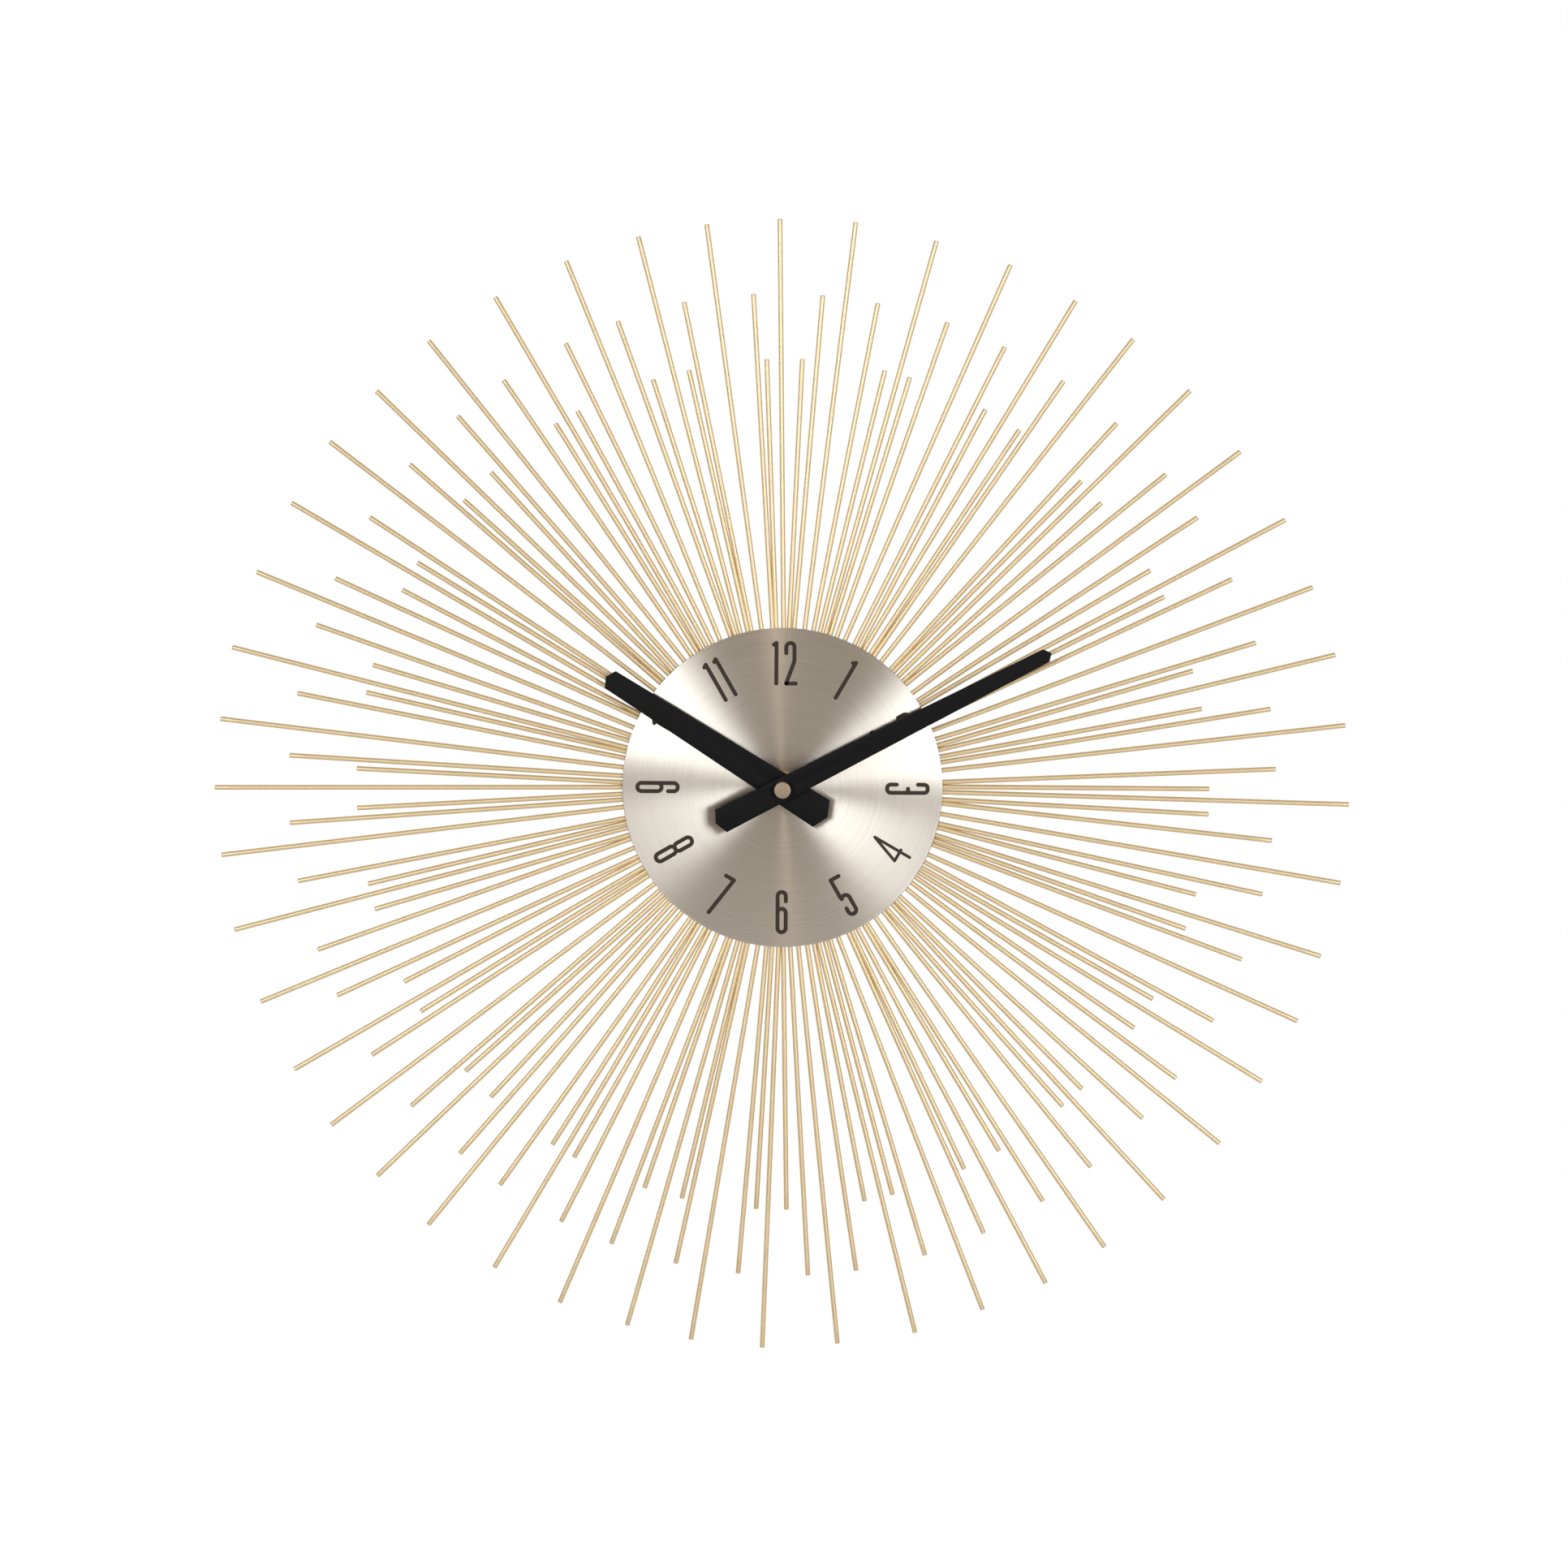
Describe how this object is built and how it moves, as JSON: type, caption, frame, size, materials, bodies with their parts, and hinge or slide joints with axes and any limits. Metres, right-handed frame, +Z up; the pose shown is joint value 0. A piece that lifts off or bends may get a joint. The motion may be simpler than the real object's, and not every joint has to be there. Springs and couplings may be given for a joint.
{
  "type": "sunburst wall clock",
  "caption": "Round wall clock with a brushed metal dial, flat black hands and a fan of thin gold rods in three lengths, driven by a battery movement.",
  "frame": {"origin": "on the hands' axis, at the rear face of the movement, which lies against the wall", "axes": "+Z up towards twelve o'clock, +X to three o'clock, -Y out of the wall towards the viewer, so +Y points into the wall"},
  "size_m": [0.4825, 0.035, 0.482],
  "materials": {
    "rod_gold": "satin champagne gold paint over welded steel rod",
    "plate_gold": "satin champagne gold paint",
    "dial_metal": "circular brushed satin metal under clear lacquer",
    "hand_black": "matte black paint",
    "cap_brass": "brushed champagne brass",
    "brass": "turned brass",
    "hanger_steel": "zinc plated pressed steel",
    "gasket_rubber": "soft matte rubber",
    "case_plastic": "fine moulded texture, black",
    "cover_plastic": "fine moulded texture, black",
    "gear_plastic": "natural acetal",
    "bridge_plastic": "natural acetal",
    "knob_plastic": "moulded off-white",
    "magnet": "sintered magnet",
    "core_steel": "bare lamination steel",
    "contact_steel": "nickel plated spring steel",
    "coil_copper": "enamelled copper wire",
    "board_green": "glass fibre board with solder mask",
    "crystal_can": "tinned metal can",
    "cell_wrap": "printed steel can, plain bands"
  },
  "bodies": {
    "frame": {"ray_cluster_01": "rod_gold", "ray_cluster_02": "rod_gold", "ray_cluster_03": "rod_gold", "ray_cluster_04": "rod_gold", "ray_cluster_05": "rod_gold", "ray_cluster_06": "rod_gold", "ray_cluster_07": "rod_gold", "ray_cluster_08": "rod_gold", "ray_cluster_09": "rod_gold", "ray_cluster_10": "rod_gold", "ray_cluster_11": "rod_gold", "ray_cluster_12": "rod_gold", "ray_cluster_13": "rod_gold", "ray_cluster_14": "rod_gold", "ray_cluster_15": "rod_gold", "ray_cluster_16": "rod_gold", "ray_cluster_17": "rod_gold", "ray_cluster_18": "rod_gold", "ray_cluster_19": "rod_gold", "ray_cluster_20": "rod_gold", "ray_cluster_21": "rod_gold", "ray_cluster_22": "rod_gold", "ray_cluster_23": "rod_gold", "ray_cluster_24": "rod_gold", "back_plate": "plate_gold", "plate_spacer": "brass", "dial_plate": "dial_metal", "dial_washer": "brass", "hex_nut": "brass", "rubber_gasket": "gasket_rubber", "threaded_bush": "brass", "hanger": "hanger_steel", "stator": "core_steel", "coil_core": "core_steel", "coil_bobbin": "bridge_plastic", "coil_winding": "coil_copper", "circuit_board": "board_green", "quartz_crystal": "crystal_can", "positive_contact": "contact_steel", "negative_contact_spring": "contact_steel", "movement_case": "case_plastic", "rear_cover": "cover_plastic", "train_bridge": "bridge_plastic"},
    "minute": {"minute_hand": "hand_black", "hand_cap_nut": "cap_brass", "minute_arbor": "brass", "centre_wheel": "gear_plastic"},
    "hour": {"hour_hand": "hand_black", "hour_wheel": "gear_plastic"},
    "motion": {"motion_wheel": "gear_plastic"},
    "setting": {"setting_stem": "gear_plastic", "setting_knob": "knob_plastic"},
    "third": {"third_wheel": "gear_plastic"},
    "seconds": {"seconds_wheel": "gear_plastic"},
    "intermediate": {"intermediate_wheel": "gear_plastic"},
    "rotor": {"rotor_pinion": "gear_plastic", "rotor_magnet": "magnet"},
    "battery": {"battery_cell": "cell_wrap"}
  },
  "joints": [
    {"name": "minute_turn", "type": "hinge", "parent": "frame", "child": "minute", "pos_m": [0, -0.0304, 0], "axis": [0, 1, 0], "continuous": true},
    {"name": "hour_turn", "type": "hinge", "parent": "frame", "child": "hour", "pos_m": [0, -0.0274, 0], "axis": [0, 1, 0], "continuous": true},
    {"name": "motion_wheel_turn", "type": "hinge", "parent": "frame", "child": "motion", "pos_m": [0.0105, -0.012, 0], "axis": [0, 1, 0], "continuous": true},
    {"name": "setting_knob_turn", "type": "hinge", "parent": "frame", "child": "setting", "pos_m": [0.01792, -0.0015, 0.00742], "axis": [0, 1, 0], "continuous": true},
    {"name": "third_wheel_turn", "type": "hinge", "parent": "frame", "child": "third", "pos_m": [-0.0102, -0.0076, 0], "axis": [0, 1, 0], "continuous": true},
    {"name": "seconds_wheel_turn", "type": "hinge", "parent": "frame", "child": "seconds", "pos_m": [0, -0.0058, 0], "axis": [0, 1, 0], "continuous": true},
    {"name": "intermediate_wheel_turn", "type": "hinge", "parent": "frame", "child": "intermediate", "pos_m": [-0.00349, -0.0042, 0.00958], "axis": [0, 1, 0], "continuous": true},
    {"name": "rotor_turn", "type": "hinge", "parent": "frame", "child": "rotor", "pos_m": [0.00151, -0.007, 0.01291], "axis": [0, 1, 0], "continuous": true},
    {"name": "battery_slide", "type": "slide", "parent": "frame", "child": "battery", "axis": [0, 1, 0], "range_m": [0, 0.02]}
  ],
  "couplings": [
    {"joint": "hour_turn", "follows": "minute_turn", "ratio": 0.083333},
    {"joint": "motion_wheel_turn", "follows": "minute_turn", "ratio": -0.33333},
    {"joint": "setting_knob_turn", "follows": "minute_turn", "ratio": 1},
    {"joint": "third_wheel_turn", "follows": "minute_turn", "ratio": -7.5},
    {"joint": "seconds_wheel_turn", "follows": "minute_turn", "ratio": 60},
    {"joint": "intermediate_wheel_turn", "follows": "minute_turn", "ratio": -450},
    {"joint": "rotor_turn", "follows": "minute_turn", "ratio": 1800}
  ]
}
